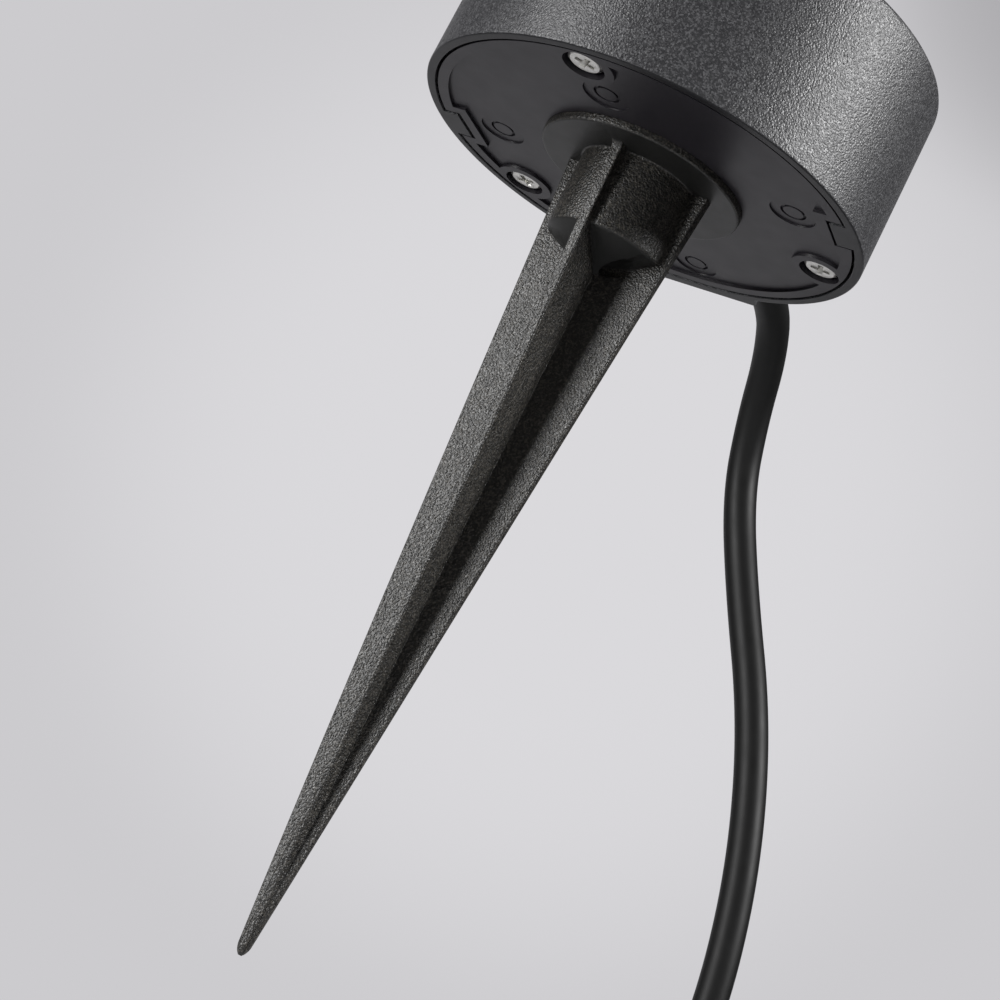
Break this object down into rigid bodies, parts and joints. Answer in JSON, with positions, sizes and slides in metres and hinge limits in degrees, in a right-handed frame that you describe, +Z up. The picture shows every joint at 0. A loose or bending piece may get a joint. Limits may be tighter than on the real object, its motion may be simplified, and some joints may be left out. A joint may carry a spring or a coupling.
{
  "type": "outdoor spike spotlight",
  "caption": "Garden spotlight on a ground spike: round drum base with a screwed bottom cover, a finned spike, a swivelling fork and a tilting barrel head, fed by a rubber cable with a plug.",
  "frame": {"origin": "on the drum's axis at ground level, in the plane of the base's bottom rim", "axes": "+Z up along the drum and spike axis, +Y towards the cable outlet, the lamp head at rest looks towards -Y and upwards"},
  "size_m": [0.2077, 0.2081, 0.4658],
  "materials": {
    "powder_coat": "fine-textured matt black powder coat on die-cast aluminium",
    "cover_plastic": "smooth black moulded plastic with a soft sheen",
    "spike_plastic": "finely textured black moulded plastic",
    "steel": "bright zinc-plated or stainless steel",
    "cable_rubber": "black rubber cable sheath",
    "moulded_rubber": "black moulded rubber",
    "inner_plastic": "pale moulded plastic",
    "brass": "brass, nickel-plated on the plug",
    "earth_core": "green and yellow core insulation",
    "neutral_core": "blue core insulation",
    "live_core": "brown core insulation",
    "clear_glass": "clear toughened glass",
    "reflector_metal": "bright anodised aluminium",
    "board_white": "white solder mask on an aluminium board",
    "phosphor": "yellow phosphor disc"
  },
  "bodies": {
    "base": {"base_housing": "powder_coat", "bottom_cover": "cover_plastic", "cover_gasket": "moulded_rubber", "cover_screws": "steel", "ground_spike": "spike_plastic", "spike_bolt": "steel", "spike_washer": "steel", "terminal_block": "inner_plastic", "terminal_screws": "brass", "driver_box": "inner_plastic", "cord_grip_bar": "inner_plastic", "cord_grip_screws": "steel", "earth_tag": "brass", "earth_screw": "steel", "strain_relief": "moulded_rubber", "inner_cable": "cable_rubber", "earth_lead": "earth_core", "neutral_lead": "neutral_core", "live_lead": "live_core", "power_cable": "cable_rubber", "cable_coil": "cable_rubber", "coil_tie": "inner_plastic", "plug_body": "moulded_rubber", "plug_pins": "brass", "plug_earth_clips": "brass", "swivel_washer": "inner_plastic"},
    "swivel": {"swivel_fork": "powder_coat", "swivel_nut": "steel", "spring_washer": "steel", "tilt_bolt": "steel", "tilt_nut": "steel", "tilt_washers": "steel"},
    "head": {"head_body": "powder_coat", "front_ring": "powder_coat", "lens_gasket": "moulded_rubber", "front_glass": "clear_glass", "reflector": "reflector_metal", "led_board": "board_white", "led_chip": "phosphor", "board_screws": "steel"}
  },
  "joints": [
    {"name": "head_swivel", "type": "hinge", "parent": "base", "child": "swivel", "pos_m": [0, 0, 0.037], "axis": [0, 0, 1], "range_deg": [-170, 170]},
    {"name": "head_tilt", "type": "hinge", "parent": "swivel", "child": "head", "pos_m": [0, 0, 0.064], "axis": [-1, 0, 0], "range_deg": [-65, 55]}
  ]
}
